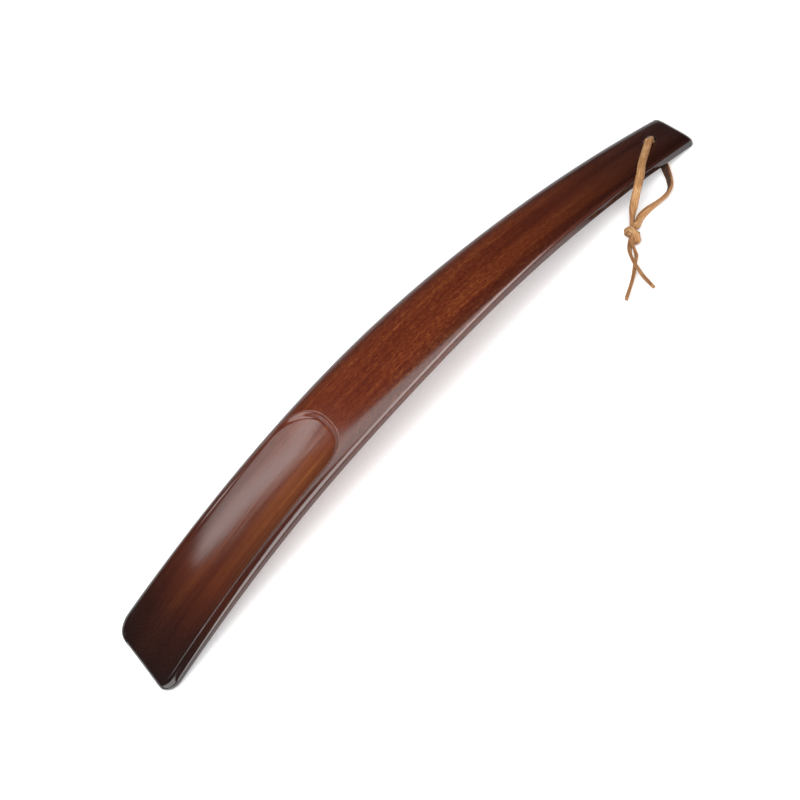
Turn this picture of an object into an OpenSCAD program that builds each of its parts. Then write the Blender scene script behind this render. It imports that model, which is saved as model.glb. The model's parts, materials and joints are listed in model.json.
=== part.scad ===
// Wooden shoehorn with a leather hanging lace.
// It lies arch up: +X runs from the blade's tip to the end of the handle, and +Z is up.
// The origin is under the middle of the wood, on the surface that it rests on.

/* [Wood outline] */
// Length of the underside, measured straight from the tip to the handle's end
length = 229; // [220:1:240]
// Width of the blade at its tip
tip_w = 38; // [36:0.5:40]
// Width a quarter of the way up
quarter_w = 35.4; // [33:0.2:37]
// Width at the middle
middle_w = 33.2; // [31:0.2:35]
// Width three quarters of the way up
upper_w = 26; // [24:0.2:28]
// Width of the handle's end
end_w = 18.6; // [17:0.2:20]
// Corner radius of the blade's tip
tip_r = 6.5; // [5:0.5:12]
// Corner radius of the handle's end
end_r = 1.5; // [1:0.5:4]

/* [Wood arch] */
// Height of the underside above the surface at the middle
rise = 15.8; // [12:0.2:18]
// How far the arch leans towards the handle
lean = 0.09; // [0:0.01:0.2]

/* [Wood thickness] */
// Thickness at the tip
tip_t = 2.4; // [2.2:0.1:3]
// Thickness a quarter of the way up, over the rims of the scoop
quarter_t = 4; // [3.6:0.1:4.6]
// Thickness at the middle
middle_t = 4.6; // [4:0.1:5.5]
// Thickness three quarters of the way up
upper_t = 4.4; // [4:0.1:5]
// Thickness of the handle's end
end_t = 3.6; // [3.2:0.1:4]
// Height of the wood's side face at the blade
blade_edge = 1.4; // [1.2:0.1:1.8]
// Height of the wood's side face at the middle
middle_edge = 1.7; // [1.4:0.1:2.2]
// Height of the wood's side face at the handle
handle_edge = 2; // [1.6:0.1:2.4]

/* [Scoop] */
// Distance from the tip to the scoop's round end
scoop_len = 91; // [80:1:100]
// Width of the rim left beside the scoop
rim_w = 2.2; // [2:0.2:4]
// Depth of the scoop at its round end, in the middle
scoop_depth = 2.3; // [1.2:0.1:2.5]
// Depth of the scoop at the tip
tip_depth = 0.8; // [0.5:0.1:1]
// Share of the depth that the hollow floor loses towards its sides
dish = 0.45; // [0.2:0.05:0.6]
// Width of the scoop's steep wall
wall_w = 1.8; // [1.2:0.1:2.4]
// Squareness of the scoop's end on the +Y side, where 2 is round
far_power = 2; // [2:0.1:4]
// Squareness of the scoop's end on the -Y side
near_power = 3.4; // [2:0.1:4]

/* [Hole and lace] */
// Distance from the hole's lower mouth to the handle's end
hole_inset = 9; // [8:0.5:12]
// Diameter of the lace's hole
hole_d = 4; // [3.8:0.1:4.4]
// Diameter of a round cord with the flat lace's cross-section
cord_d = 2; // [1.6:0.1:2]
// Diameter of the knot
knot_d = 4.6; // [4:0.1:4.8]
// Length of the knot along the lace
knot_len = 8; // [6:0.5:9]

/* [Hidden] */

widths = [tip_w, quarter_w, middle_w, upper_w, end_w];
thicknesses = [tip_t, quarter_t, middle_t, upper_t, end_t];
edges = [blade_edge, blade_edge, middle_edge, handle_edge, handle_edge];
// How square the shoulders are: a low power gives a full crown, a high one a flat face
shoulders = [5, 5, 2.4, 3.2, 5];
foot_r = 0.7;
nose_len = 1.6;
nose_least = 0.35;
nose_keel = 0.25;
tip_rings = 8;
end_rings = 7;
blade_rings = 20;
lip_rings = 15;
handle_rings = 22;
lip_span = 22;
top_steps = 30;
foot_steps = 3;
base_steps = 4;
cord_sides = 8;

// Lace route from the knot over the front of the handle, down through the hole and back.
// Each point is the offset from the hole in X and Y, and the height above the surface.
loop_route = [
    [-26, -18.8, 2.4], [-24.3, -17, 2.7], [-22.5, -15.9, 3.5], [-20.4, -15.2, 4.6],
    [-17.8, -14.5, 6], [-14.6, -13.8, 8.2], [-11.3, -11.9, 9.3], [-8.7, -9.5, 9.5],
    [-6.3, -7.1, 9.1], [-3.9, -4.9, 8.5], [-1.8, -3, 7.9], [0.1, -1.3, 7.4],
    [0.9, -0.3, 6.5], [0.8, 0, 5.2], [0.5, 0, 4], [0.1, 0, 2.6],
    [0, -0.6, 1.5], [-0.2, -1.8, 1.1], [-0.6, -3.6, 1.1], [-1.4, -5.8, 1.1],
    [-2.4, -8.4, 1.2], [-3.6, -11, 1.4], [-5, -13.8, 1.5], [-7, -16.6, 1.5],
    [-9.8, -17.9, 1.5], [-13, -17.6, 1.5], [-16.6, -16.8, 1.5], [-20, -16.9, 1.5],
    [-22.6, -18.4, 1.8], [-24.4, -20.3, 2.2]
];
// Routes of the two tails, from inside the knot to their free ends
front_tail_route = [
    [-28.3, -21.6, 3], [-29.9, -23.6, 3.2], [-31.2, -26.1, 3.3], [-32.4, -28.6, 3.3],
    [-33.4, -31.2, 3.2], [-34.1, -33.6, 2.5], [-34.7, -36, 1.6], [-35.1, -38.6, 1.2],
    [-35.5, -41.2, 1.2]
];
back_tail_route = [
    [-26.7, -22.8, 2], [-28.3, -24.6, 1.5], [-30.3, -26.6, 1.1], [-32.5, -28.8, 1.1],
    [-34.7, -30.9, 1.1], [-36.9, -32.8, 1.1], [-39.2, -34.5, 1.1], [-41.2, -35.8, 1.1],
    [-43, -37, 1.1]
];
knot_place = [-26.4, -20.8, 2.35];
knot_turn = 48;

// A value along the wood, by a smooth curve through values at equal steps
function held(v, k) =
    k < 0 ? 2 * v[0] - v[1] : k >= len(v) ? 2 * v[len(v) - 1] - v[len(v) - 2] : v[k];
function along(v, u) =
    let (s = u * (len(v) - 1), i = min(floor(s), len(v) - 2), f = s - i)
    let (a = held(v, i - 1), b = held(v, i), c = held(v, i + 1), d = held(v, i + 2))
    b + f / 2 * (c - a + f * (2 * a - 5 * b + 4 * c - d + f * (3 * (b - c) + d - a)));
function smooth(f) = let (g = min(max(f, 0), 1)) g * g * (3 - 2 * g);

// Height and slope of the underside's arch at u, from 0 at the tip to 1 at the handle's end
function base_at(u) = 4 * rise * u * (1 - u) * (1 + lean * (2 * u - 1));
function slope_at(u) =
    4 * rise / length * ((1 - 2 * u) * (1 + lean * (2 * u - 1)) + 2 * lean * u * (1 - u));

// How much a corner of radius r takes off each side, at distance d from the end
function corner_cut(d, r) = d >= r ? 0 : r - sqrt(r * r - (r - d) * (r - d));
function half_w(x) =
    along(widths, x / length) / 2 - corner_cut(x, tip_r) - corner_cut(length - x, end_r);

// Thickness factor that rounds the nose at both ends
function nose_at(d) =
    nose_least + (1 - nose_least) * sqrt(1 - pow(1 - min(d / nose_len, 1), 2));

// Distance inside the scoop's outline at x from the tip and y from the middle
scoop_r = along(widths, scoop_len / length) / 2 - rim_w;
scoop_mid = scoop_len - scoop_r;
function scoop_inset(x, y) =
    x < scoop_mid ? half_w(x) - rim_w - abs(y) :
    let (p = y < 0 ? near_power : far_power, a = (x - scoop_mid) / scoop_r)
    let (b = abs(y) / (half_w(x) - rim_w))
    scoop_r * (1 - pow(pow(a, p) + pow(b, p), 1 / p));

// Height of the scoop's hollow floor above the underside
function floor_at(x, inset) =
    let (deep = tip_depth + (scoop_depth - tip_depth) * smooth(x / (0.6 * scoop_len)))
    let (side = 1 - min(max(inset / scoop_r, 0), 1))
    along(thicknesses, x / length) - deep * (1 - dish * side * side);

// Height of the top face above the underside, with v from -1 to 1 across the wood
function top_at(x, v) =
    let (u = x / length, edge = along(edges, u), inset = scoop_inset(x, v * half_w(x)))
    let (crown = sqrt(1 - pow(abs(v), along(shoulders, u))))
    let (h = edge + (along(thicknesses, u) - edge) * crown)
    h - max(h - floor_at(x, inset), 0) * smooth(inset / wall_w);

// One cross-section as [y, height] pairs, anticlockwise from the -Y side of the top
function section(x) =
    let (w = half_w(x), edge = along(edges, x / length))
    concat(
        [for (k = [0 : top_steps]) let (v = sin(180 * k / top_steps - 90)) [v * w, top_at(x, v)]],
        [for (k = [0 : foot_steps]) let (a = 90 * k / foot_steps)
            [w - foot_r + foot_r * cos(a), foot_r - foot_r * sin(a)]],
        [for (k = [1 : base_steps - 1]) [(w - foot_r) * (1 - 2 * k / base_steps), 0]],
        [for (k = [foot_steps : -1 : 0]) let (a = 90 * k / foot_steps)
            [-w + foot_r - foot_r * cos(a), foot_r - foot_r * sin(a)]]
    );

// A section carried onto the arch, square to it, with its nose rounded
function carried(x) =
    let (u = x / length, m = slope_at(u), g = norm([1, m]))
    let (keel = along(thicknesses, u) * nose_keel, thin = min(nose_at(x), nose_at(length - x)))
    [for (p = section(x)) let (h = keel + (p[1] - keel) * thin)
        [x - length / 2 - h * m / g, p[0], base_at(u) + h / g]];

// Places of the cross-sections: close together in the rounded ends and at the scoop's lip
lip_from = scoop_len - lip_span + 2;
lip_to = scoop_len + 2;
stations = concat(
    [for (k = [0 : tip_rings - 1]) tip_r * (1 - cos(90 * k / tip_rings))],
    [for (k = [0 : blade_rings - 1]) tip_r + (lip_from - tip_r) * k / blade_rings],
    [for (k = [0 : lip_rings - 1]) lip_from + (lip_to - lip_from) * k / lip_rings],
    [for (k = [0 : handle_rings - 1])
        lip_to + (length - end_r - lip_to) * k / handle_rings],
    [for (k = [0 : end_rings]) length - end_r * (1 - sin(90 * k / end_rings))]
);

// The wood stands on the surface, with its box centred over the origin
loose = [for (x = stations) each carried(x)];
shift = [-(min([for (p = loose) p[0]]) + max([for (p = loose) p[0]])) / 2, 0,
    -min([for (p = loose) p[2]])];
rings = [for (x = stations) [for (p = carried(x)) p + shift]];

// The hole runs square through the handle: its lower mouth, and its lean from upright
hole_u = 1 - hole_inset / length;
hole_x = length * (hole_u - 0.5) + shift[0];
hole_z = base_at(hole_u) + shift[2];
hole_tilt = -atan(slope_at(hole_u));

// A closed skin over rings that have the same number of points
module skin(rings) {
    n = len(rings[0]);
    last = len(rings) - 1;
    walls = [for (i = [0 : last - 1], j = [0 : n - 1])
        let (a = i * n + j, b = i * n + (j + 1) % n)
        each [[a, b, b + n], [a, b + n, a + n]]];
    caps = [[for (j = [n - 1 : -1 : 0]) j], [for (j = [0 : n - 1]) last * n + j]];
    polyhedron(points = [for (r = rings) each r], faces = concat(walls, caps), convexity = 6);
}

// Moves to the lower mouth of the hole, with Z along the hole
module at_hole() {
    translate([hole_x, 0, hole_z]) rotate([0, hole_tilt, 0]) children();
}

module shoehorn_body() {
    color([0.33, 0.13, 0.09])
    difference() {
        skin(rings);
        at_hole() translate([0, 0, -5]) cylinder(d = hole_d, h = 20, $fn = 48);
    }
}

// Direction of the route at point i
function heading(r, i) =
    let (d = r[min(i + 1, len(r) - 1)] - r[max(i - 1, 0)]) d / norm(d);

// Frames are carried along the route without twist: each side vector follows the last
function sides(r, i = 0, side = [0, 0, 1]) =
    i >= len(r) ? [] :
    let (t = heading(r, i), s = side - (side * t) * t, n = s / norm(s))
    concat([n], sides(r, i + 1, n));

// A round tube along a route
module cord(route) {
    n = sides(route, 0, cross(heading(route, 0), [0, 0, 1]));
    rings = [for (i = [0 : len(route) - 1])
        let (b = cross(heading(route, i), n[i]))
        [for (k = [0 : cord_sides - 1]) let (a = 360 * (k + 0.5) / cord_sides)
            route[i] + cord_d / 2 * (cos(a) * n[i] + sin(a) * b)]];
    translate([hole_x, 0, 0]) skin([for (r = rings) [for (k = [cord_sides - 1 : -1 : 0]) r[k]]]);
}

module lace_loop() {
    color([0.76, 0.58, 0.4]) cord(loop_route);
}

// The knot's outer shape: a rounded barrel along the lace
module lace_knot() {
    r = knot_d / 2;
    color([0.72, 0.52, 0.34])
    translate([hole_x, 0, 0]) translate(knot_place)
    rotate([0, 0, knot_turn]) rotate([0, 90, 0])
    rotate_extrude($fn = 48)
    intersection() {
        translate([0, -knot_len / 2]) square([r, knot_len]);
        translate([r - knot_len * 0.62, 0]) circle(r = knot_len * 0.62, $fn = 96);
    }
}

module lace_front_tail() {
    color([0.76, 0.58, 0.4]) cord(front_tail_route);
}

module lace_back_tail() {
    color([0.7, 0.5, 0.33]) cord(back_tail_route);
}

shoehorn_body();
lace_loop();
lace_knot();
lace_front_tail();
lace_back_tail();
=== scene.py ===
"""Looks of a wooden shoehorn with a leather hanging lace: its pieces, materials, lights and camera."""

import json
import math

import bmesh
import bpy
import numpy as np
from mathutils import Matrix, Vector


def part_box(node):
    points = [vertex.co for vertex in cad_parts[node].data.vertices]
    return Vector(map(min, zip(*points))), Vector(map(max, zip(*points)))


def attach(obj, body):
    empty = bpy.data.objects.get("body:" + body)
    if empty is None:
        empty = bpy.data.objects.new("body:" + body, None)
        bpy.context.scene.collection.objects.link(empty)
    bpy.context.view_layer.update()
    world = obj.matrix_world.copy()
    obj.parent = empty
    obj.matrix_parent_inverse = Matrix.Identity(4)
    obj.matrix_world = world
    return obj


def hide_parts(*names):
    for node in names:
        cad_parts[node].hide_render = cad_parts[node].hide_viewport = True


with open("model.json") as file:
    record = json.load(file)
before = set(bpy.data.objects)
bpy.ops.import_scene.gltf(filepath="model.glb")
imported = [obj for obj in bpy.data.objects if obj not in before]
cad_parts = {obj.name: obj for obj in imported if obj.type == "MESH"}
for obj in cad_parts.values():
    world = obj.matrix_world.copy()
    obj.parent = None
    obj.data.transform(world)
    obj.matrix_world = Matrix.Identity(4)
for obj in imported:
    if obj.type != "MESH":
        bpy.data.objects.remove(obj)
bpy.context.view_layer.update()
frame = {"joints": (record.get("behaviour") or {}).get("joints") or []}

MM = 0.001
SHARP_ANGLE = math.radians(50)

# The hole through the handle: the middle of its lower mouth, and its direction
SWING = frame["joints"][0]
HOLE = np.array(SWING["pos_m"])
BORE = Vector(SWING["axis"])

# Camera: angles in degrees, distance and target in metres, lens on a 36 mm sensor
CAMERA_AZIMUTH = -4.5
CAMERA_ELEVATION = 41.2
CAMERA_ROLL = 41.9
CAMERA_TARGET = (-0.0045, -0.0083, 0.01)
CAMERA_DISTANCE = 0.595
CAMERA_LENS = 90

# The wood, with the names and values of the CAD source. The nose is thinner at its edge than the CAD's,
# and only this model rounds the hole's mouths.
LENGTH = 229 * MM
WIDTHS = np.array([38, 35.4, 33.2, 26, 18.6]) * MM
THICKNESSES = np.array([2.4, 4, 4.6, 4.4, 3.6]) * MM
EDGES = np.array([1.4, 1.4, 1.7, 2, 2]) * MM
SHOULDERS = np.array([5, 5, 2.4, 3.2, 5])
TIP_R = 6.5 * MM
END_R = 1.5 * MM
RISE = 15.8 * MM
LEAN = 0.09
FOOT_R = 0.7 * MM
NOSE_LEN = 1.6 * MM
NOSE_LEAST = 0.1
NOSE_KEEL = 0.25
SCOOP_LEN = 91 * MM
RIM_W = 2.2 * MM
SCOOP_DEPTH = 2.3 * MM
TIP_DEPTH = 0.8 * MM
DISH = 0.45
WALL_W = 1.8 * MM
FAR_POWER = 2
NEAR_POWER = 3.4
HOLE_R = 2 * MM
MOUTH_R = 0.45 * MM
SLIVER = 0.003 * MM
PLUG_PAST = 3 * MM

# Lace: the CAD routes in millimetres, as offsets from the hole in X and Y and heights above the floor
LOOP_ROUTE = [
    (-26, -18.8, 2.4), (-24.3, -17, 2.7), (-22.5, -15.9, 3.5), (-20.4, -15.2, 4.6),
    (-17.8, -14.5, 6), (-14.6, -13.8, 8.2), (-11.3, -11.9, 9.3), (-8.7, -9.5, 9.5),
    (-6.3, -7.1, 9.1), (-3.9, -4.9, 8.5), (-1.8, -3, 7.9), (0.1, -1.3, 7.4),
    (0.9, -0.3, 6.5), (0.8, 0, 5.2), (0.5, 0, 4), (0.1, 0, 2.6),
    (0, -0.6, 1.5), (-0.2, -1.8, 1.1), (-0.6, -3.6, 1.1), (-1.4, -5.8, 1.1),
    (-2.4, -8.4, 1.2), (-3.6, -11, 1.4), (-5, -13.8, 1.5), (-7, -16.6, 1.5),
    (-9.8, -17.9, 1.5), (-13, -17.6, 1.5), (-16.6, -16.8, 1.5), (-20, -16.9, 1.5),
    (-22.6, -18.4, 1.8), (-24.4, -20.3, 2.2),
]
FRONT_TAIL_ROUTE = [
    (-28.3, -21.6, 3), (-29.9, -23.6, 3.2), (-31.2, -26.1, 3.3), (-32.4, -28.6, 3.3),
    (-33.4, -31.2, 3.2), (-34.1, -33.6, 2.5), (-34.7, -36, 1.6), (-35.1, -38.6, 1.2),
    (-35.5, -41.2, 1.2),
]
BACK_TAIL_ROUTE = [
    (-26.7, -22.8, 2), (-28.3, -24.6, 1.5), (-30.3, -26.6, 1.1), (-32.5, -28.8, 1.1),
    (-34.7, -30.9, 1.1), (-36.9, -32.8, 1.1), (-39.2, -34.5, 1.1), (-41.2, -35.8, 1.1),
    (-43, -37, 1.1),
]
# The two strands go from the middle of the hole to the knot. Each entry has the number of a route's point,
# the direction that the flat face of the lace looks in there, and how far it lies off the route that way.
FRONT_STRAND_FACES = [
    (14, (0.6, 0.8, 0), -0.4), (13, (0.6, 0.8, 0), -0.4), (12, (0.55, 0.75, 0.35), 0),
    (11, (0.3, 0.4, 0.85), -0.1), (10, (0, 0.05, 1), -0.3), (9, (0, 0, 1), -0.4), (8, (0, 0, 1), -0.4),
    (7, (-0.05, -0.1, 1), -0.3), (6, (-0.15, -0.25, 0.95), -0.2), (5, (-0.2, -0.6, 0.75), 0),
    (4, (-0.1, -0.8, 0.5), 0.2), (3, (0.35, -0.85, 0.2), 0.5), (2, (0.65, -0.65, -0.1), 0.8),
    (1, (0.75, -0.6, -0.2), 0.9),
]
BACK_STRAND_FACES = [
    (14, (0.6, 0.8, 0), -0.4), (15, (0.4, 0.9, 0), -0.3), (16, (0.1, 0.7, -0.7), -0.1),
    (17, (0, 0.1, -1), -0.1), (18, (0, 0, -1), -0.1), (19, (0.1, 0, -1), -0.1),
    (20, (0.3, 0, -0.95), 0), (21, (0.5, 0, -0.85), 0),
    (22, (0.65, -0.05, -0.75), 0), (23, (0.7, -0.3, -0.7), 0), (24, (0.4, -0.7, -0.65), 0),
    (25, (0, -0.8, -0.6), 0), (26, (0, -0.95, -0.25), 0), (27, (0.3, -0.9, 0.1), 0), (28, (0.6, -0.8, 0), 0),
]
FRONT_TAIL_FACES = [
    (2, (-0.9, 0.4, 0.1), 0), (3, (-0.95, 0.3, 0.1), 0), (4, (-0.95, 0.3, 0.1), 0), (5, (-0.95, 0.2, 0.1), 0),
    (6, (-0.95, 0.1, 0.1), 0), (7, (-0.95, 0.1, 0), 0), (8, (-0.95, 0.1, -0.1), 0),
]
BACK_TAIL_FACES = [
    (2, (-0.6, 0.6, 0.5), 0), (3, (-0.5, 0.6, 0.6), 0), (4, (-0.5, 0.6, 0.6), 0), (5, (-0.5, 0.6, 0.6), 0),
    (6, (-0.5, 0.6, 0.55), 0), (7, (-0.5, 0.6, 0.5), 0), (8, (-0.5, 0.6, 0.4), 0),
]
# Knot: its middle, its turn about Z in degrees, and the line that both strands follow in it.
# Each pair is a point to the right, down the lace and up, and the direction of the knot's outside there.
# The two strands lie off that line to either side of it, by so many millimetres out and beside.
KNOT_PLACE = (-26.4, -20.8, 2.35)
KNOT_TURN = 48
STRAND_OUT = 0.44
STRAND_BESIDE = 0.3
KNOT_LINE = [
    ((0, -3.4, -0.1), (-1, 0, 0)), ((0, -1.2, -0.5), (-1, 0.1, 0)), ((0.4, 1.4, -0.8), (-0.8, 0.5, 0)),
    ((1.6, 2, 0), (0.1, 1, 0.1)), ((1.4, 0.8, 1.1), (0.2, 0.7, 0.7)), ((0, -0.6, 1.5), (0, 0, 1)),
    ((-1.6, -1.3, 0.4), (-1, 0, 0.2)), ((-1.4, -1.5, -0.8), (-0.6, -0.2, -0.7)),
    ((0.1, -1.1, -1.35), (0, 0, -1)), ((1.2, -0.2, -0.9), (0.7, -0.1, -0.6)),
    ((0.9, 0.7, 0.2), (0.9, 0, 0.3)), ((0.4, 1.9, 0.8), (1, 0, 0)), ((0, 3.4, 0.5), (1, 0, 0)),
]
LACE_W = 2.5 * MM
LACE_T = 1.2 * MM
TAIL_W = 1.9 * MM
TAIL_T = 1 * MM
KNOTTED_W = 1.9 * MM
KNOTTED_T = 0.8 * MM
STRAP_STEPS = 8
STRAP_SIDES = 28
STRAP_ROUNDING = 0.4

# Widths are drawn this much larger in the shader's curve, so that they fill its range from 0 to 1
CURVE_SCALE = 10

# Floor: the radius of its flat part, and the radius that its rim bends up with
FLOOR_R = 2.4
RIM_R = 0.8

# Soft lights: name, the place that each faces, azimuth and elevation in degrees, distance, width, height
# and radiance
SOFTBOXES = [
    ("softbox_scoop", (-0.05, 0.005, 0.014), 106, 48, 1.0, 0.26, 0.32, 1.35),
    ("softbox_low", (-0.05, 0.005, 0.014), 106, 42.5, 1.0, 0.26, 0.12, 1.3),
    ("softbox_top", (0.04, 0, 0.015), -62, 88, 0.9, 0.36, 1.3, 2.0),
    ("softbox_front", (0, 0, 0.015), -98, 49, 1.4, 1.7, 1.1, 4.3),
    ("softbox_left", (-0.03, 0, 0.015), 170, 36, 1.0, 0.75, 0.5, 2.4),
]


def add_camera():
    """The camera at the photograph's viewing angle and with its roll."""
    azimuth, elevation, roll = map(math.radians, (CAMERA_AZIMUTH, CAMERA_ELEVATION, CAMERA_ROLL))
    back = Vector((math.sin(azimuth) * math.cos(elevation),
                   -math.cos(azimuth) * math.cos(elevation), math.sin(elevation)))
    right = Vector((math.cos(azimuth), math.sin(azimuth), 0))
    up = back.cross(right)
    data = bpy.data.cameras.new("camera")
    data.lens = CAMERA_LENS
    data.clip_start = 0.01
    camera = bpy.data.objects.new("camera", data)
    across = right * math.cos(roll) - up * math.sin(roll)
    upright = right * math.sin(roll) + up * math.cos(roll)
    place = Vector(CAMERA_TARGET) + back * CAMERA_DISTANCE
    camera.matrix_world = Matrix.Translation(place) @ Matrix((across, upright, back)).transposed().to_4x4()
    bpy.context.scene.collection.objects.link(camera)
    bpy.context.scene.camera = camera


def mesh_object(name, points, faces, material):
    """A smooth-shaded mesh object, sharp only where faces meet at more than 50 degrees."""
    mesh = bpy.data.meshes.new(name)
    mesh.from_pydata([tuple(p) for p in points], [], [tuple(f) for f in faces])
    mesh.materials.append(material)
    mesh.shade_smooth()
    mesh.set_sharp_from_angle(angle=SHARP_ANGLE)
    piece = bpy.data.objects.new(name, mesh)
    bpy.context.scene.collection.objects.link(piece)
    return piece


def ring_faces(rings, around):
    """Quads that join rings of points, with a cap at each end."""
    faces = []
    for i in range(rings - 1):
        for j in range(around):
            a, b = i * around + j, i * around + (j + 1) % around
            faces.append((a, b, b + around, a + around))
    faces.append(range(around - 1, -1, -1))
    faces.append(range((rings - 1) * around, rings * around))
    return faces


def along(values, u):
    """A value along the wood, by a smooth curve through values at equal steps."""
    v = np.array([2 * values[0] - values[1], *values, 2 * values[-1] - values[-2]])
    s = np.asarray(u) * (len(values) - 1)
    i = np.clip(np.floor(s), 0, len(values) - 2).astype(int)
    f = s - i
    a, b, c, d = (v[i + k] for k in range(4))
    return b + f / 2 * (c - a + f * (2 * a - 5 * b + 4 * c - d + f * (3 * (b - c) + d - a)))


def smooth(f):
    g = np.clip(f, 0, 1)
    return g * g * (3 - 2 * g)


def base_at(u):
    """Height of the arch's underside."""
    return 4 * RISE * u * (1 - u) * (1 + LEAN * (2 * u - 1))


def slope_at(u):
    return 4 * RISE / LENGTH * ((1 - 2 * u) * (1 + LEAN * (2 * u - 1)) + 2 * LEAN * u * (1 - u))


def corner_cut(d, r):
    """How far a rounded corner of radius r has come in from the side, at d from the end."""
    return r - np.sqrt(r * r - np.clip(r - d, 0, r) ** 2)


def half_w(x):
    """Half the width at x from the tip, with the corners of both ends rounded."""
    return along(WIDTHS, x / LENGTH) / 2 - corner_cut(x, TIP_R) - corner_cut(LENGTH - x, END_R)


def nose_at(d):
    """Share of the full thickness at d from an end."""
    return NOSE_LEAST + (1 - NOSE_LEAST) * np.sqrt(1 - np.clip(1 - d / NOSE_LEN, 0, 1) ** 2)


def scoop_inset(x, y):
    """Distance inside the scoop's outline at x from the tip and y from the middle."""
    room = half_w(x) - RIM_W
    a = np.maximum(x - SCOOP_LEN + SCOOP_R, 0) / SCOOP_R
    power = np.where(y < 0, NEAR_POWER, FAR_POWER)
    end = SCOOP_R * (1 - (a ** power + np.maximum(np.abs(y) / room, 0) ** power) ** (1 / power))
    return np.where(x < SCOOP_LEN - SCOOP_R, room - np.abs(y), end)


def top_at(x, v):
    """Height of the top face above the underside: a crown, with the dished scoop cut into it."""
    u = x / LENGTH
    edge, thick = along(EDGES, u), along(THICKNESSES, u)
    crown = np.sqrt(np.maximum(1 - np.abs(v) ** along(SHOULDERS, u), 0))
    h = edge + (thick - edge) * crown
    inset = scoop_inset(x, v * half_w(x))
    deep = TIP_DEPTH + (SCOOP_DEPTH - TIP_DEPTH) * smooth(x / (0.6 * SCOOP_LEN))
    side = 1 - np.clip(inset / SCOOP_R, 0, 1)
    hollow = thick - deep * (1 - DISH * side ** 2)
    return h - np.maximum(h - hollow, 0) * smooth(inset / WALL_W)


SCOOP_R = along(WIDTHS, SCOOP_LEN / LENGTH) / 2 - RIM_W


def wood_rings():
    """Cross-sections of the wood, one row of points for each place along it."""
    quarter = np.linspace(0, math.pi / 2, 17)
    # Closest together at both rounded ends and round the scoop's inner end
    x = np.concatenate([
        TIP_R * (1 - np.cos(quarter))[:-1],
        np.arange(TIP_R, 68 * MM, 1 * MM),
        np.arange(68 * MM, 94 * MM, 0.35 * MM),
        np.linspace(94 * MM, LENGTH - END_R, 130)[:-1],
        LENGTH - END_R * (1 - np.sin(quarter)),
    ])[:, None]
    u = x / LENGTH
    w, edge = half_w(x), along(EDGES, u)

    v = np.sin(np.linspace(-math.pi / 2, math.pi / 2, 121))[None]
    top = [v * w, top_at(x, v)]
    down = np.array([[0.25, 0.5, 0.75]])
    side = [w + 0 * down, edge + (FOOT_R - edge) * down]
    turn = np.linspace(0, math.pi / 2, 6)[None]
    foot = [w - FOOT_R + FOOT_R * np.cos(turn), FOOT_R - FOOT_R * np.sin(turn) + 0 * x]
    across = 1 - 2 * np.arange(1, 24)[None] / 24
    base = [(w - FOOT_R) * across, 0 * x + 0 * across]
    y = np.concatenate([top[0], side[0], foot[0], base[0], -foot[0][:, ::-1], -side[0][:, ::-1]], 1)
    h = np.concatenate([top[1], side[1], foot[1], base[1], foot[1][:, ::-1], side[1][:, ::-1]], 1)

    keel = along(THICKNESSES, u) * NOSE_KEEL
    h = keel + (h - keel) * np.minimum(nose_at(x), nose_at(LENGTH - x))
    m = slope_at(u)
    g = np.hypot(1, m)
    rings = np.stack([x - LENGTH / 2 - h * m / g, y, base_at(u) + h / g], -1)
    low, high = (np.array(corner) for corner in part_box("shoehorn_body"))
    rings[..., 0] += (low[0] + high[0] - rings[..., 0].min() - rings[..., 0].max()) / 2
    rings[..., 2] += low[2] - rings[..., 2].min()
    return rings


def hole_cutter():
    """A lathed plug with flared ends that leaves the hole with rounded mouths."""
    top_z = along(THICKNESSES, HOLE[0] / LENGTH + 0.5)
    turn = np.linspace(0, math.pi / 2, 7)
    arc = [(HOLE_R + MOUTH_R * (1 - math.cos(t)), MOUTH_R * math.sin(t)) for t in turn]
    profile = [(r, z + top_z - MOUTH_R) for r, z in arc]
    profile.append((profile[-1][0], top_z + PLUG_PAST))
    low = [(r, MOUTH_R - z) for r, z in reversed(arc)]
    low.insert(0, (low[0][0], -PLUG_PAST))
    profile = low + profile
    sides = 64
    turned = [2 * math.pi * (k + 0.5) / sides for k in range(sides)]
    side_x = Vector((0, 1, 0)).cross(BORE)
    frame_of = Matrix((side_x, Vector((0, 1, 0)), BORE)).transposed()
    points = [Vector(HOLE) + frame_of @ Vector((r * math.cos(a), r * math.sin(a), z))
              for r, z in profile for a in turned]
    material = bpy.data.materials.new("cutter")
    return mesh_object("hole_cutter", points, ring_faces(len(profile), sides), material)


def add_wood(material):
    """The wood: its sections joined, the hole cut through, and the cut's slivers removed."""
    rings = wood_rings()
    count, around, _ = rings.shape
    faces = [tuple(reversed(f)) for f in ring_faces(count, around)]
    wood = mesh_object("wood", rings.reshape(-1, 3), faces, material)
    cutter = hole_cutter()
    cut = wood.modifiers.new("hole", "BOOLEAN")
    cut.object = cutter
    cut.operation = "DIFFERENCE"
    cut.solver = "EXACT"
    done = bpy.data.meshes.new_from_object(wood.evaluated_get(bpy.context.evaluated_depsgraph_get()))
    tidied = bmesh.new()
    tidied.from_mesh(done)
    bmesh.ops.dissolve_degenerate(tidied, dist=SLIVER, edges=tidied.edges)
    tidied.to_mesh(done)
    tidied.free()
    wood.modifiers.clear()
    wood.data = done
    wood.data.materials.clear()
    wood.data.materials.append(material)
    for polygon in wood.data.polygons:
        polygon.material_index = 0
    wood.data.set_sharp_from_angle(angle=SHARP_ANGLE)
    bpy.data.objects.remove(cutter)
    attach(wood, "wood")
    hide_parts("shoehorn_body")


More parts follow.
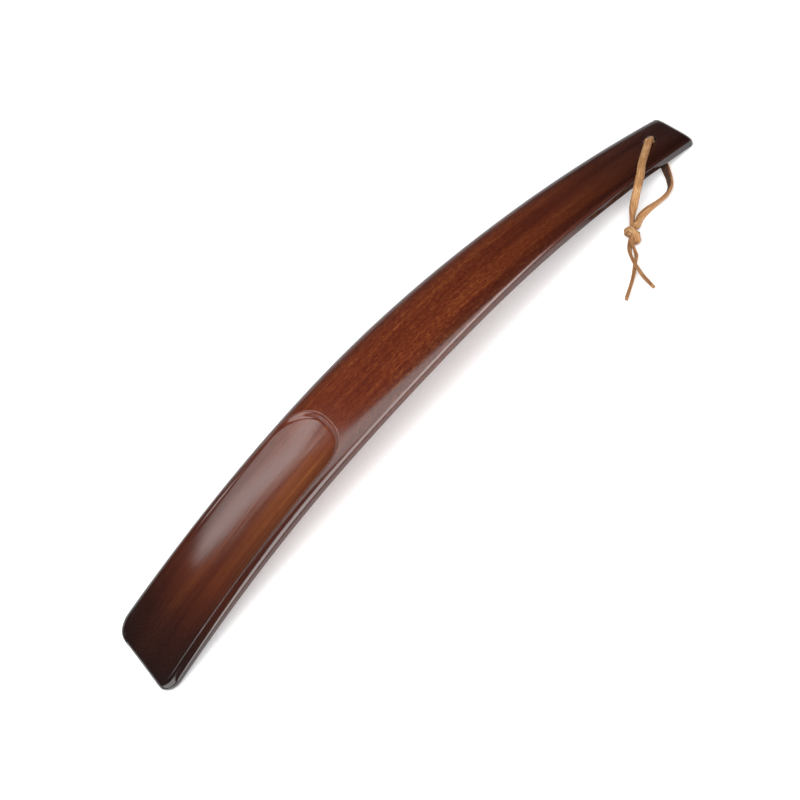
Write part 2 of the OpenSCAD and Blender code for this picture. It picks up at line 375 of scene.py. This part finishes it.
def add_floor():
    """A white floor with an upturned rim, which isn't part of the object."""
    material = bpy.data.materials.new("floor")
    material.use_nodes = True
    shader = material.node_tree.nodes["Principled BSDF"]
    shader.inputs["Base Color"].default_value = (0.9, 0.9, 0.9, 1)
    shader.inputs["Roughness"].default_value = 0.8
    shader.inputs["Emission Color"].default_value = (1, 1, 1, 1)
    shader.inputs["Emission Strength"].default_value = 0.3
    sides = 96
    turned = [2 * math.pi * k / sides for k in range(sides)]
    profile = [(FLOOR_R / 2, 0), (FLOOR_R, 0)]
    profile += [(FLOOR_R + RIM_R * math.sin(t), RIM_R - RIM_R * math.cos(t))
                for t in np.linspace(0.1, 1.5, 14)]
    points = [(r * math.cos(a), r * math.sin(a), z) for r, z in profile for a in turned]
    faces = ring_faces(len(profile), sides)[:-2] + [range(sides)]
    mesh_object("floor", points, faces, material)


def add_softbox(name, target, azimuth, elevation, distance, width, height, radiance):
    """An area light that faces a target; azimuth is the direction to it, from +X towards +Y."""
    a, e = math.radians(azimuth), math.radians(elevation)
    toward = Vector((math.cos(a) * math.cos(e), math.sin(a) * math.cos(e), math.sin(e)))
    data = bpy.data.lights.new(name, "AREA")
    data.shape = "RECTANGLE"
    data.size = width
    data.size_y = height
    data.energy = radiance * math.pi * width * height
    light = bpy.data.objects.new(name, data)
    light.location = Vector(target) + toward * distance
    light.rotation_euler = toward.to_track_quat("Z", "Y").to_euler()
    light.visible_camera = False
    bpy.context.scene.collection.objects.link(light)


def add_world():
    world = bpy.data.worlds.new("world")
    world.use_nodes = True
    world.node_tree.nodes["Background"].inputs["Color"].default_value = (0.03, 0.03, 0.035, 1)
    bpy.context.scene.world = world
    bpy.context.scene.view_settings.view_transform = "Standard"


def shader_node(tree, kind, inputs=(), **settings):
    """A new node with its settings and its inputs, which are values or other nodes' outputs."""
    made = tree.nodes.new(kind)
    for key, value in settings.items():
        setattr(made, key, value)
    for key, value in dict(inputs).items():
        if isinstance(value, bpy.types.NodeSocket):
            tree.links.new(value, made.inputs[key])
        else:
            made.inputs[key].default_value = value
    return made


def maths(tree, operation, *values):
    return shader_node(tree, "ShaderNodeMath", dict(enumerate(values)), operation=operation).outputs[0]


def remap(tree, value, low, high, to_low=0.0, to_high=1.0):
    inputs = {"Value": value, "From Min": low, "From Max": high, "To Min": to_low, "To Max": to_high}
    return shader_node(tree, "ShaderNodeMapRange", inputs, interpolation_type="SMOOTHSTEP").outputs[0]


def noise(tree, place, scale, detail, roughness, distortion=0.0):
    """Noise in a stretched copy of a place; scale is in cycles per metre along X, Y and Z."""
    stretched = shader_node(tree, "ShaderNodeMapping", {"Vector": place, "Scale": scale}).outputs[0]
    inputs = {"Vector": stretched, "Scale": 1.0, "Detail": detail, "Roughness": roughness,
              "Distortion": distortion}
    return shader_node(tree, "ShaderNodeTexNoise", inputs).outputs["Fac"]


def ramp(tree, value, stops):
    """Colours blended along a value from 0 to 1; stops are pairs of a position and a colour."""
    made = shader_node(tree, "ShaderNodeValToRGB", {"Fac": value})
    bar = made.color_ramp.elements
    while len(bar) < len(stops):
        bar.new(0.5)
    for element, (position, colour) in zip(bar, stops):
        element.position = position
        element.color = (*colour, 1)
    return made.outputs["Color"]


def grey_ramp(tree, value, stops):
    return ramp(tree, value, [(position, (level, level, level)) for position, level in stops])


def mixed(tree, factor, first, second, blend="MIX"):
    """Two colours mixed or multiplied; each of the three inputs is a value or another node's output."""
    made = tree.nodes.new("ShaderNodeMix")
    made.data_type = "RGBA"
    made.blend_type = blend
    for number, value in ((0, factor), (6, first), (7, second)):
        if isinstance(value, bpy.types.NodeSocket):
            tree.links.new(value, made.inputs[number])
        else:
            made.inputs[number].default_value = value
    return made.outputs[2]


def product(tree, first, *others):
    """All the values multiplied together, from the left."""
    for other in others:
        first = maths(tree, "MULTIPLY", first, other)
    return first


def wood_grain(tree, place, u, streaks):
    """Stained grain: long bands and streaks, with a mottled figure in the middle of the length."""
    bands = noise(tree, place, (9, 150, 60), 2.0, 0.5, 0.4)
    mottle = noise(tree, place, (650, 1100, 900), 3.0, 0.65, 0.6)
    middle = grey_ramp(tree, u, [(0.3, 0.15), (0.5, 1), (0.66, 1), (0.86, 0.2)])
    grain = maths(tree, "MULTIPLY_ADD", streaks, 0.45, maths(tree, "MULTIPLY", bands, 0.55))
    strength = maths(tree, "MULTIPLY", middle, 0.9)
    figure = maths(tree, "MULTIPLY", maths(tree, "SUBTRACT", mottle, 0.5), strength)
    grain = remap(tree, maths(tree, "ADD", grain, figure), 0.2, 0.85)
    return ramp(tree, grain, [(0, (0.085, 0.011, 0.003)), (0.4, (0.142, 0.0225, 0.0055)),
                              (0.7, (0.19, 0.039, 0.0095)), (1, (0.29, 0.08, 0.019))])


def orange_streaks(tree, place, axes, u):
    """Where the colour is a lighter orange: in streaks along the near half of the scoop."""
    streaks = noise(tree, place, (11, 760, 300), 3.0, 0.5)
    return product(tree, remap(tree, u, 0.06, 0.3), remap(tree, u, 0.4, 0.33),
                   remap(tree, axes["Y"], 0.004, -0.01), remap(tree, axes["Y"], -0.016, -0.0135),
                   remap(tree, streaks, 0.3, 0.8, 0.1, 0.8))


def wood_across(tree, axes, u):
    """Distance from the middle line, from 0 to 1 at the wood's sides."""
    half = shader_node(tree, "ShaderNodeFloatCurve", {"Value": u})
    curve = half.mapping.curves[0]
    curve.points[0].location = (0, WIDTHS[0] * CURVE_SCALE)
    curve.points[1].location = (1, WIDTHS[-1] * CURVE_SCALE)
    for k in (1, 2, 3):
        curve.points.new(k / 4, WIDTHS[k] * CURVE_SCALE)
    half.mapping.update()
    half_width = maths(tree, "MULTIPLY", half.outputs[0], 0.5 / CURVE_SCALE)
    return maths(tree, "DIVIDE", maths(tree, "ABSOLUTE", axes["Y"]), half_width)


def wood_shade(tree, place, axes, u):
    """How light the colour is: darker towards both ends, the sides and in the pores, lighter on the arris."""
    across = wood_across(tree, axes, u)
    lengthwise = grey_ramp(tree, u, [(0, 0.08), (0.06, 0.19), (0.14, 0.55), (0.22, 0.64), (0.4, 0.96),
                                     (0.55, 0.88), (0.65, 0.8), (0.74, 0.7), (0.88, 0.36), (1, 0.12)])
    edges_dark = remap(tree, across, 0.45, 1.0, 1.0, 0.5)
    arris = product(tree, remap(tree, across, 0.9, 0.96), remap(tree, across, 1.0, 0.97),
                    remap(tree, u, 0.45, 0.75))
    pores = noise(tree, place, (210, 3600, 2000), 2.0, 0.5)
    shade = product(tree, lengthwise, maths(tree, "MULTIPLY_ADD", arris, 0.4, edges_dark),
                    remap(tree, pores, 0.27, 0.4, 0.55, 1.0))
    inputs = {"Red": shade, "Green": shade, "Blue": shade}
    return shader_node(tree, "ShaderNodeCombineColor", inputs).outputs[0]


def wood_material():
    """Glossy lacquer over red-brown wood, whose grain follows the arch."""
    material = bpy.data.materials.new("lacquered_wood")
    material.use_nodes = True
    tree = material.node_tree
    shader = tree.nodes["Principled BSDF"]
    flat = shader_node(tree, "ShaderNodeTexCoord").outputs["Object"]
    axes = shader_node(tree, "ShaderNodeSeparateXYZ", {"Vector": flat}).outputs
    u = maths(tree, "MULTIPLY_ADD", axes["X"], 1 / LENGTH, 0.5)
    arch = product(tree, maths(tree, "MULTIPLY", u, 4 * RISE), maths(tree, "SUBTRACT", 1.0, u))
    inputs = {"X": axes["X"], "Y": axes["Y"], "Z": maths(tree, "SUBTRACT", axes["Z"], arch)}
    place = shader_node(tree, "ShaderNodeCombineXYZ", inputs).outputs[0]

    streaks = noise(tree, place, (45, 900, 500), 4.0, 0.62, 0.5)
    colour = wood_grain(tree, place, u, streaks)
    colour = mixed(tree, orange_streaks(tree, place, axes, u), colour, (0.4, 0.125, 0.032, 1))
    colour = mixed(tree, 1.0, colour, wood_shade(tree, place, axes, u), "MULTIPLY")
    tree.links.new(colour, shader.inputs["Base Color"])

    bump = shader_node(tree, "ShaderNodeBump", {"Height": streaks, "Strength": 0.15, "Distance": 0.0001})
    tree.links.new(bump.outputs[0], shader.inputs["Coat Normal"])
    shader.inputs["Roughness"].default_value = 0.45
    shader.inputs["Specular IOR Level"].default_value = 0.1
    shader.inputs["Coat Weight"].default_value = 1
    shader.inputs["Coat IOR"].default_value = 1.65
    gloss = maths(tree, "MULTIPLY_ADD", streaks, 0.12, 0.075)
    gloss = maths(tree, "MULTIPLY", gloss, remap(tree, u, 0.05, 0.22, 0.4, 1.0))
    tree.links.new(gloss, shader.inputs["Coat Roughness"])
    return material


def route_keys(route, faces, width, thickness):
    """Strap keys at points of a route: place, face direction, width and thickness."""
    hole = Vector((HOLE[0], 0, 0))
    return [(hole + (Vector(route[k]) + off * Vector(face)) * MM, Vector(face), width, thickness)
            for k, face, off in faces]


def knot_keys(side):
    """Strap keys through the knot, where the two strands lie one over the other; side is 1 or -1."""
    turn = math.radians(KNOT_TURN)
    axes = (Vector((math.sin(turn), -math.cos(turn), 0)), Vector((-math.cos(turn), -math.sin(turn), 0)),
            Vector((0, 0, 1)))
    middle = Vector((HOLE[0], 0, 0)) + Vector(KNOT_PLACE) * MM
    places = [sum((a * v for a, v in zip(axes, place)), Vector()) for place, _ in KNOT_LINE]
    outs = [sum((a * v for a, v in zip(axes, out)), Vector()).normalized() for _, out in KNOT_LINE]
    keys = []
    for k, (place, out) in enumerate(zip(places, outs)):
        heading = places[min(k + 1, len(places) - 1)] - places[max(k - 1, 0)]
        beside = heading.cross(out).normalized()
        shifted = place + side * (STRAND_OUT * out + STRAND_BESIDE * beside)
        keys.append((middle + shifted * MM, -out, KNOTTED_W, KNOTTED_T))
    return keys


def curve_through(values, steps):
    """Points on a smooth curve through rows of numbers, with steps between each two rows."""
    rows = np.array([2 * values[0] - values[1], *values, 2 * values[-1] - values[-2]])
    f = (np.arange(steps) / steps)[:, None]
    made = []
    for a, b, c, d in zip(rows, rows[1:], rows[2:], rows[3:]):
        made.append(b + f / 2 * (c - a + f * (2 * a - 5 * b + 4 * c - d + f * (3 * (b - c) + d - a))))
    return np.concatenate([*made, values[-1:]])


def unit(rows):
    return rows / np.linalg.norm(rows, axis=1, keepdims=True)


def add_strap(name, keys, material):
    """A flat lace through its keys, with rounded edges that waver a little; returns it and its path."""
    rows = curve_through(np.array([[*place, *face, width, thick] for place, face, width, thick in keys]),
                         STRAP_STEPS)
    path = rows[:, :3]
    heading = unit(np.gradient(path, axis=0))
    face = rows[:, 3:6] - (rows[:, 3:6] * heading).sum(1, keepdims=True) * heading
    face = unit(face)
    across = np.cross(face, heading)
    far = np.concatenate([[0], np.cumsum(np.linalg.norm(np.diff(path, axis=0), axis=1))])
    waver = 1 + 0.02 * np.sin(far * 700) + 0.012 * np.sin(far * 1900 + 1) + 0.008 * np.sin(far * 4300 + 2)
    lean = 0.05 * np.sin(far * 900 + 0.5)

    turn = 2 * np.pi * (np.arange(STRAP_SIDES) + 0.5) / STRAP_SIDES
    flat, high = np.cos(turn), np.sin(turn)
    flat = np.sign(flat) * np.abs(flat) ** STRAP_ROUNDING
    high = np.sign(high) * np.abs(high) ** STRAP_ROUNDING
    sideways = (rows[:, 6] * waver / 2)[:, None] * flat
    outward = (rows[:, 7] / 2)[:, None] * (high + lean[:, None] * flat ** 2)
    points = path[:, None] + sideways[..., None] * across[:, None] + outward[..., None] * face[:, None]
    strap = mesh_object(name, points.reshape(-1, 3), ring_faces(len(path), len(turn)), material)
    edge = strap.data.attributes.new("edge", "FLOAT", "POINT")
    edge.data.foreach_set("value", np.tile(np.abs(flat) ** 6, len(path)))
    flow = strap.data.attributes.new("flow", "FLOAT_VECTOR", "POINT")
    along_lace = np.repeat(far, len(turn))
    flow.data.foreach_set("vector", np.stack([along_lace, sideways.ravel(), outward.ravel()], 1).ravel())
    return strap, [tuple(point) for point in path]


def add_lace(material):
    """The lace in two pieces that meet in the middle of the hole and pass together through the knot."""
    front = route_keys(LOOP_ROUTE, FRONT_STRAND_FACES, LACE_W, LACE_T) + knot_keys(1)
    front += route_keys(BACK_TAIL_ROUTE, BACK_TAIL_FACES, TAIL_W, TAIL_T)
    back = route_keys(LOOP_ROUTE, BACK_STRAND_FACES, LACE_W, LACE_T) + knot_keys(-1)
    back += route_keys(FRONT_TAIL_ROUTE, FRONT_TAIL_FACES, TAIL_W, TAIL_T)
    nodes = {"lace_front": ("lace_loop", "lace_knot", "lace_back_tail"), "lace_back": ("lace_front_tail",)}
    # The number of the route's point where each strand leaves the hole comes last
    for name, keys, mouth in (("lace_front", front, 13), ("lace_back", back, 15)):
        strap, path = add_strap(name, keys, material)
        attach(strap, "lace")
        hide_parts(*nodes[name])


def leather_material():
    """Tan leather lace: fibres along it, mottled dye, and painted shade along its narrow edges."""
    material = bpy.data.materials.new("lace_leather")
    material.use_nodes = True
    tree = material.node_tree
    shader = tree.nodes["Principled BSDF"]
    place = shader_node(tree, "ShaderNodeTexCoord").outputs["Object"]
    edge = shader_node(tree, "ShaderNodeAttribute", attribute_name="edge").outputs["Fac"]
    flow = shader_node(tree, "ShaderNodeAttribute", attribute_name="flow").outputs["Vector"]
    fibres = noise(tree, flow, (420, 2600, 2600), 4.0, 0.65, 0.5)
    fuzz = noise(tree, place, (5200, 5200, 5200), 2.0, 0.6)
    dye = noise(tree, place, (260, 260, 260), 2.0, 0.5, 0.5)
    tone = maths(tree, "MULTIPLY_ADD", fibres, 0.7, maths(tree, "MULTIPLY", dye, 0.3))
    colour = ramp(tree, remap(tree, tone, 0.28, 0.74), [
        (0, (0.27, 0.115, 0.035)), (0.5, (0.43, 0.22, 0.088)), (1, (0.62, 0.4, 0.2))])
    # Painted shade: the lace's narrow edges are darker
    colour = mixed(tree, maths(tree, "MULTIPLY", edge, 0.6), colour, (0.2, 0.08, 0.03, 1))
    # Painted shadow of the handle: the lace's inner side is darker near it
    axes = shader_node(tree, "ShaderNodeSeparateXYZ", {"Vector": place}).outputs
    through = shader_node(tree, "ShaderNodeSeparateXYZ", {"Vector": flow}).outputs["Z"]
    handle_shadow = product(tree, remap(tree, axes["X"], 0.093, 0.0965), remap(tree, axes["Z"], 0.0042, 0.0032),
                    remap(tree, through, -0.0001, -0.0005))
    colour = mixed(tree, maths(tree, "MULTIPLY", handle_shadow, 0.92), colour, (0.035, 0.01, 0.007, 1))
    tree.links.new(colour, shader.inputs["Base Color"])
    relief = maths(tree, "MULTIPLY_ADD", fibres, 0.6, maths(tree, "MULTIPLY", fuzz, 0.4))
    bump = shader_node(tree, "ShaderNodeBump", {"Height": relief, "Strength": 0.5, "Distance": 0.00015})
    tree.links.new(bump.outputs[0], shader.inputs["Normal"])
    shader.inputs["Roughness"].default_value = 0.72
    shader.inputs["Specular IOR Level"].default_value = 0.35
    return material


add_camera()
add_lace(leather_material())
add_wood(wood_material())
add_world()
add_floor()
for softbox in SOFTBOXES:
    add_softbox(*softbox)
